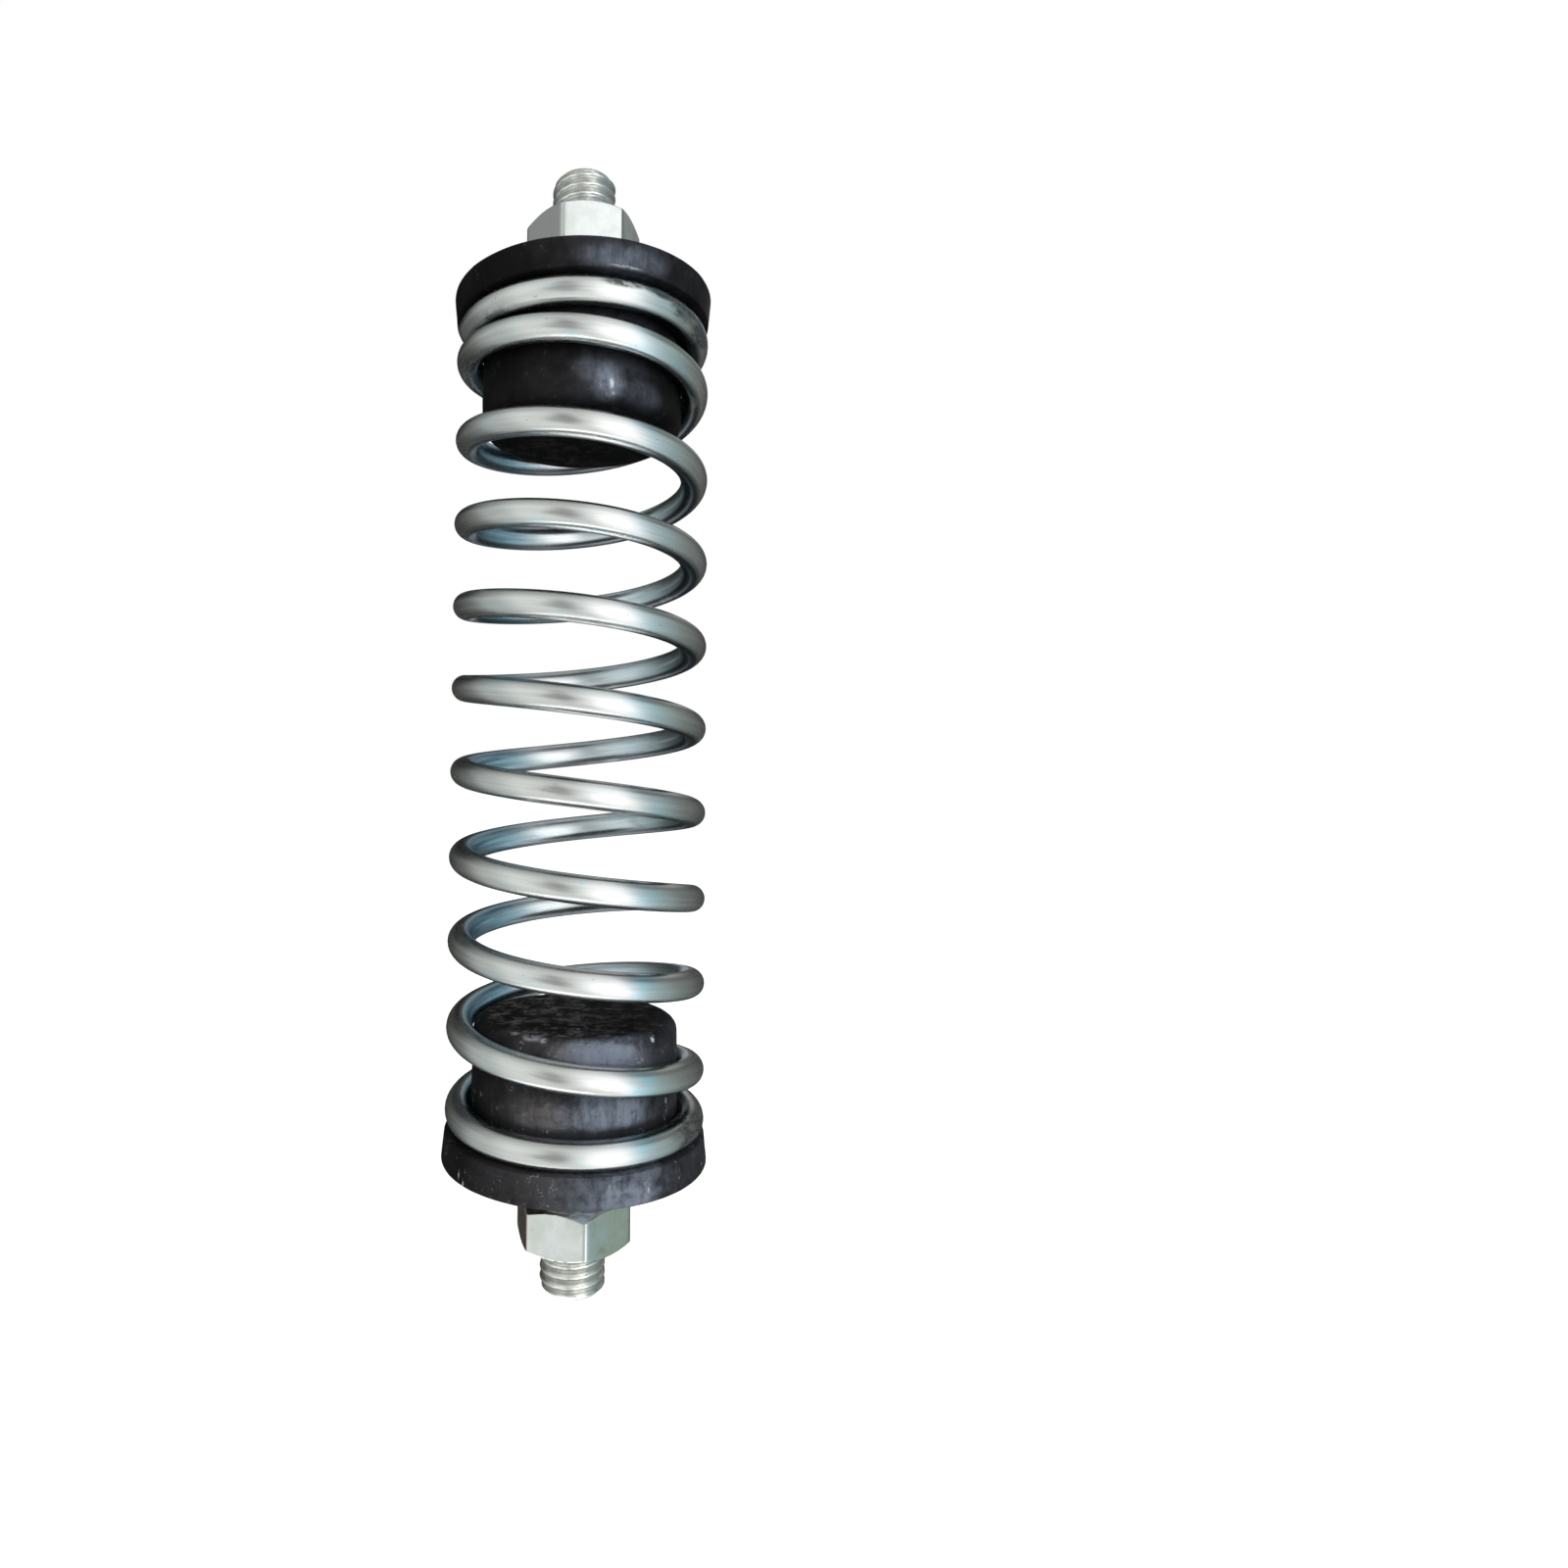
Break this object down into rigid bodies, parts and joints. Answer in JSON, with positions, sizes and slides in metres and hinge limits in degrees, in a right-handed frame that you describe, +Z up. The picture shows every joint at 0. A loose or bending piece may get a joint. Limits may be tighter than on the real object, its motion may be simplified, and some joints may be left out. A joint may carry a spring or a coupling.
{
  "type": "spring vibration isolator",
  "caption": "Coil spring held between two black rubber seats with moulded-in threaded studs and hex nuts, for isolating vibration.",
  "frame": {"origin": "centre of the lower seat's outer face, on the axis of the studs", "axes": "+Z up the axis to the upper seat; -Y towards the camera of the picture; +X to its right"},
  "size_m": [0.0482, 0.0482, 0.2055],
  "materials": {
    "zinc_plated_wire": "blue-white zinc plating, drawn wire, satin with a few dull patches",
    "black_rubber": "moulded, matt with a faint bluish sheen, dusty scuffs",
    "zinc_plated_thread": "zinc plating, rolled thread",
    "zinc_plated_nut": "zinc plating, smooth pressed faces"
  },
  "bodies": {
    "lower_mount": {"lower_rubber_seat": "black_rubber", "lower_stud": "zinc_plated_thread", "lower_hex_nut": "zinc_plated_nut", "coil_spring": "zinc_plated_wire"},
    "upper_mount": {"upper_rubber_seat": "black_rubber", "upper_stud": "zinc_plated_thread", "upper_hex_nut": "zinc_plated_nut"}
  },
  "joints": [
    {"name": "spring_compression", "type": "slide", "parent": "lower_mount", "child": "upper_mount", "axis": [0, 0, -1], "range_m": [0, 0.087], "stiffness_N_per_m": 8400, "deforming": ["coil_spring"]}
  ]
}
